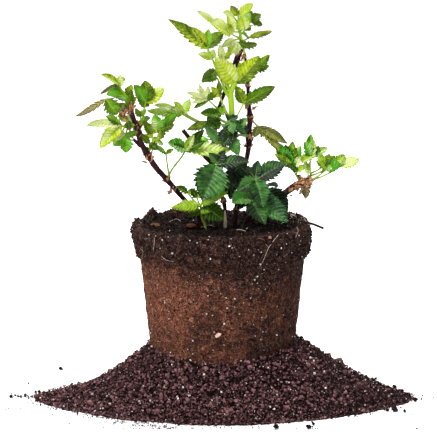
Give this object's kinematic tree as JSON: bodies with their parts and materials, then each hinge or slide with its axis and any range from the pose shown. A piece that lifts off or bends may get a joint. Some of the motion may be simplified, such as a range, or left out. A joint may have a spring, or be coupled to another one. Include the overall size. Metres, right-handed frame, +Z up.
{
  "type": "potted bramble bush",
  "caption": "Young bramble bush with toothed leaflets on woody canes, in a pot-shaped root ball that stands in a heap of loose potting soil.",
  "frame": {"origin": "under the root ball's axis, on the flat underside of the soil heap", "axes": "+Z up along the root ball's axis, -Y towards the viewer of the picture, +X to the viewer's right"},
  "size_m": [0.394, 0.3001, 0.397],
  "materials": {
    "cane": "smooth thornless bark, satin",
    "leaf_young": "soft young leaf, satin",
    "leaf_fresh": "fresh green leaf, satin",
    "leaf_olive": "dull ageing leaf",
    "leaf_mature": "mature leaf, satin",
    "root_ball": "matt peat bound by fine roots, with white perlite",
    "soil_heap": "matt crumbly potting soil, with white perlite"
  },
  "bodies": {
    "root": {"cane_centre": "cane", "cane_left": "cane", "cane_low": "cane", "cane_right": "cane", "root_ball": "root_ball", "shoot_basal": "leaf_fresh", "shoot_centre": "leaf_young", "soil_heap": "soil_heap", "spray_arching": "leaf_olive", "spray_back_crown": "leaf_young", "spray_back_high": "leaf_young", "spray_back_inner": "leaf_fresh", "spray_back_left": "leaf_fresh", "spray_back_low": "leaf_mature", "spray_back_middle": "leaf_fresh", "spray_back_right": "leaf_mature", "spray_centre": "leaf_fresh", "spray_crown": "leaf_young", "spray_dark_inner": "leaf_mature", "spray_dark_left": "leaf_mature", "spray_dark_low": "leaf_mature", "spray_dark_right": "leaf_mature", "spray_high_right": "leaf_fresh", "spray_left_high": "leaf_young", "spray_left_inner": "leaf_young", "spray_left_low": "leaf_young", "spray_left_mid": "leaf_fresh", "spray_left_tip": "leaf_young", "spray_low_left": "leaf_fresh", "spray_low_right": "leaf_fresh", "spray_middle": "leaf_mature", "spray_narrow": "leaf_young"}
  },
  "joints": []
}
